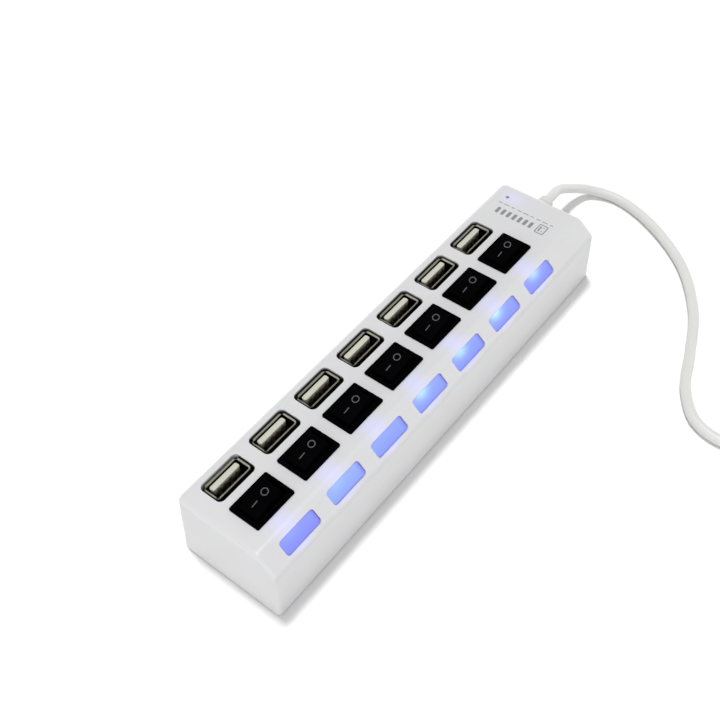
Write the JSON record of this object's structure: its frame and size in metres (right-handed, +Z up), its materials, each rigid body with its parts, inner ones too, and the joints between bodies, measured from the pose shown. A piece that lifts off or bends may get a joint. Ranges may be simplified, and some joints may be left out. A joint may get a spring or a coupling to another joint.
{
  "type": "usb hub",
  "caption": "Bar-shaped desktop USB hub: a row of upright sockets, each with its own rocker switch and light window, and a captive cable with a plug.",
  "frame": {"origin": "middle of the casing's underside, on the desk", "axes": "+X along the casing towards the cable, +Y towards the row of sockets, +Z up"},
  "size_m": [0.2747, 0.1262, 0.0286],
  "materials": {
    "casing": "smooth glossy white moulding with soft highlights",
    "switch_plastic": "glossy black moulding",
    "socket_metal": "nickel-plated sheet with a warm tone",
    "plug_metal": "nickel-plated sheet, satin",
    "socket_insulator": "satin cream moulding",
    "light_lens": "translucent lens lit violet-blue from behind",
    "lamp_lens": "clear cast resin",
    "contact_copper": "bare stamped copper alloy",
    "screw_steel": "zinc-plated",
    "board": "green solder mask",
    "chip": "moulded epoxy",
    "cable_vinyl": "semi-gloss white vinyl"
  },
  "bodies": {
    "hub": {"top_shell": "casing", "bottom_cover": "casing", "case_screw_1": "screw_steel", "case_screw_2": "screw_steel", "case_screw_3": "screw_steel", "case_screw_4": "screw_steel", "main_board": "board", "hub_chip_1": "chip", "hub_chip_2": "chip", "crystal": "screw_steel", "capacitor": "chip", "port_shell_1": "socket_metal", "port_tongue_1": "socket_insulator", "port_shell_2": "socket_metal", "port_tongue_2": "socket_insulator", "port_shell_3": "socket_metal", "port_tongue_3": "socket_insulator", "port_shell_4": "socket_metal", "port_tongue_4": "socket_insulator", "port_shell_5": "socket_metal", "port_tongue_5": "socket_insulator", "port_shell_6": "socket_metal", "port_tongue_6": "socket_insulator", "port_shell_7": "socket_metal", "port_tongue_7": "socket_insulator", "switch_housing_1": "switch_plastic", "switch_housing_2": "switch_plastic", "switch_housing_3": "switch_plastic", "switch_housing_4": "switch_plastic", "switch_housing_5": "switch_plastic", "switch_housing_6": "switch_plastic", "switch_housing_7": "switch_plastic", "light_strip": "light_lens", "status_led_1": "lamp_lens", "status_led_2": "lamp_lens", "status_led_3": "lamp_lens", "status_led_4": "lamp_lens", "status_led_5": "lamp_lens", "status_led_6": "lamp_lens", "status_led_7": "lamp_lens", "power_led": "lamp_lens", "cable": "cable_vinyl", "strain_relief": "cable_vinyl", "plug_grip": "cable_vinyl", "plug_shell": "plug_metal", "plug_tongue": "socket_insulator"},
    "rocker_1": {"rocker_1": "switch_plastic"},
    "lever_1": {"contact_lever_1": "contact_copper"},
    "rocker_2": {"rocker_2": "switch_plastic"},
    "lever_2": {"contact_lever_2": "contact_copper"},
    "rocker_3": {"rocker_3": "switch_plastic"},
    "lever_3": {"contact_lever_3": "contact_copper"},
    "rocker_4": {"rocker_4": "switch_plastic"},
    "lever_4": {"contact_lever_4": "contact_copper"},
    "rocker_5": {"rocker_5": "switch_plastic"},
    "lever_5": {"contact_lever_5": "contact_copper"},
    "rocker_6": {"rocker_6": "switch_plastic"},
    "lever_6": {"contact_lever_6": "contact_copper"},
    "rocker_7": {"rocker_7": "switch_plastic"},
    "lever_7": {"contact_lever_7": "contact_copper"}
  },
  "joints": [
    {"name": "rocker_1_tilt", "type": "hinge", "parent": "hub", "child": "rocker_1", "pos_m": [-0.066, -0.00165, 0.0239], "axis": [0, 1, 0], "range_deg": [0, 24]},
    {"name": "lever_1_tilt", "type": "hinge", "parent": "hub", "child": "lever_1", "pos_m": [-0.066, -0.00165, 0.0166], "axis": [0, 1, 0], "range_deg": [-12, 0]},
    {"name": "rocker_2_tilt", "type": "hinge", "parent": "hub", "child": "rocker_2", "pos_m": [-0.0465, -0.00165, 0.0239], "axis": [0, 1, 0], "range_deg": [0, 24]},
    {"name": "lever_2_tilt", "type": "hinge", "parent": "hub", "child": "lever_2", "pos_m": [-0.0465, -0.00165, 0.0166], "axis": [0, 1, 0], "range_deg": [-12, 0]},
    {"name": "rocker_3_tilt", "type": "hinge", "parent": "hub", "child": "rocker_3", "pos_m": [-0.027, -0.00165, 0.0239], "axis": [0, 1, 0], "range_deg": [0, 24]},
    {"name": "lever_3_tilt", "type": "hinge", "parent": "hub", "child": "lever_3", "pos_m": [-0.027, -0.00165, 0.0166], "axis": [0, 1, 0], "range_deg": [-12, 0]},
    {"name": "rocker_4_tilt", "type": "hinge", "parent": "hub", "child": "rocker_4", "pos_m": [-0.0075, -0.00165, 0.0239], "axis": [0, 1, 0], "range_deg": [0, 24]},
    {"name": "lever_4_tilt", "type": "hinge", "parent": "hub", "child": "lever_4", "pos_m": [-0.0075, -0.00165, 0.0166], "axis": [0, 1, 0], "range_deg": [-12, 0]},
    {"name": "rocker_5_tilt", "type": "hinge", "parent": "hub", "child": "rocker_5", "pos_m": [0.012, -0.00165, 0.0239], "axis": [0, 1, 0], "range_deg": [0, 24]},
    {"name": "lever_5_tilt", "type": "hinge", "parent": "hub", "child": "lever_5", "pos_m": [0.012, -0.00165, 0.0166], "axis": [0, 1, 0], "range_deg": [-12, 0]},
    {"name": "rocker_6_tilt", "type": "hinge", "parent": "hub", "child": "rocker_6", "pos_m": [0.0315, -0.00165, 0.0239], "axis": [0, 1, 0], "range_deg": [0, 24]},
    {"name": "lever_6_tilt", "type": "hinge", "parent": "hub", "child": "lever_6", "pos_m": [0.0315, -0.00165, 0.0166], "axis": [0, 1, 0], "range_deg": [-12, 0]},
    {"name": "rocker_7_tilt", "type": "hinge", "parent": "hub", "child": "rocker_7", "pos_m": [0.051, -0.00165, 0.0239], "axis": [0, 1, 0], "range_deg": [0, 24]},
    {"name": "lever_7_tilt", "type": "hinge", "parent": "hub", "child": "lever_7", "pos_m": [0.051, -0.00165, 0.0166], "axis": [0, 1, 0], "range_deg": [-12, 0]}
  ],
  "couplings": [
    {"joint": "lever_1_tilt", "follows": "rocker_1_tilt", "ratio": -0.5},
    {"joint": "lever_2_tilt", "follows": "rocker_2_tilt", "ratio": -0.5},
    {"joint": "lever_3_tilt", "follows": "rocker_3_tilt", "ratio": -0.5},
    {"joint": "lever_4_tilt", "follows": "rocker_4_tilt", "ratio": -0.5},
    {"joint": "lever_5_tilt", "follows": "rocker_5_tilt", "ratio": -0.5},
    {"joint": "lever_6_tilt", "follows": "rocker_6_tilt", "ratio": -0.5},
    {"joint": "lever_7_tilt", "follows": "rocker_7_tilt", "ratio": -0.5}
  ]
}
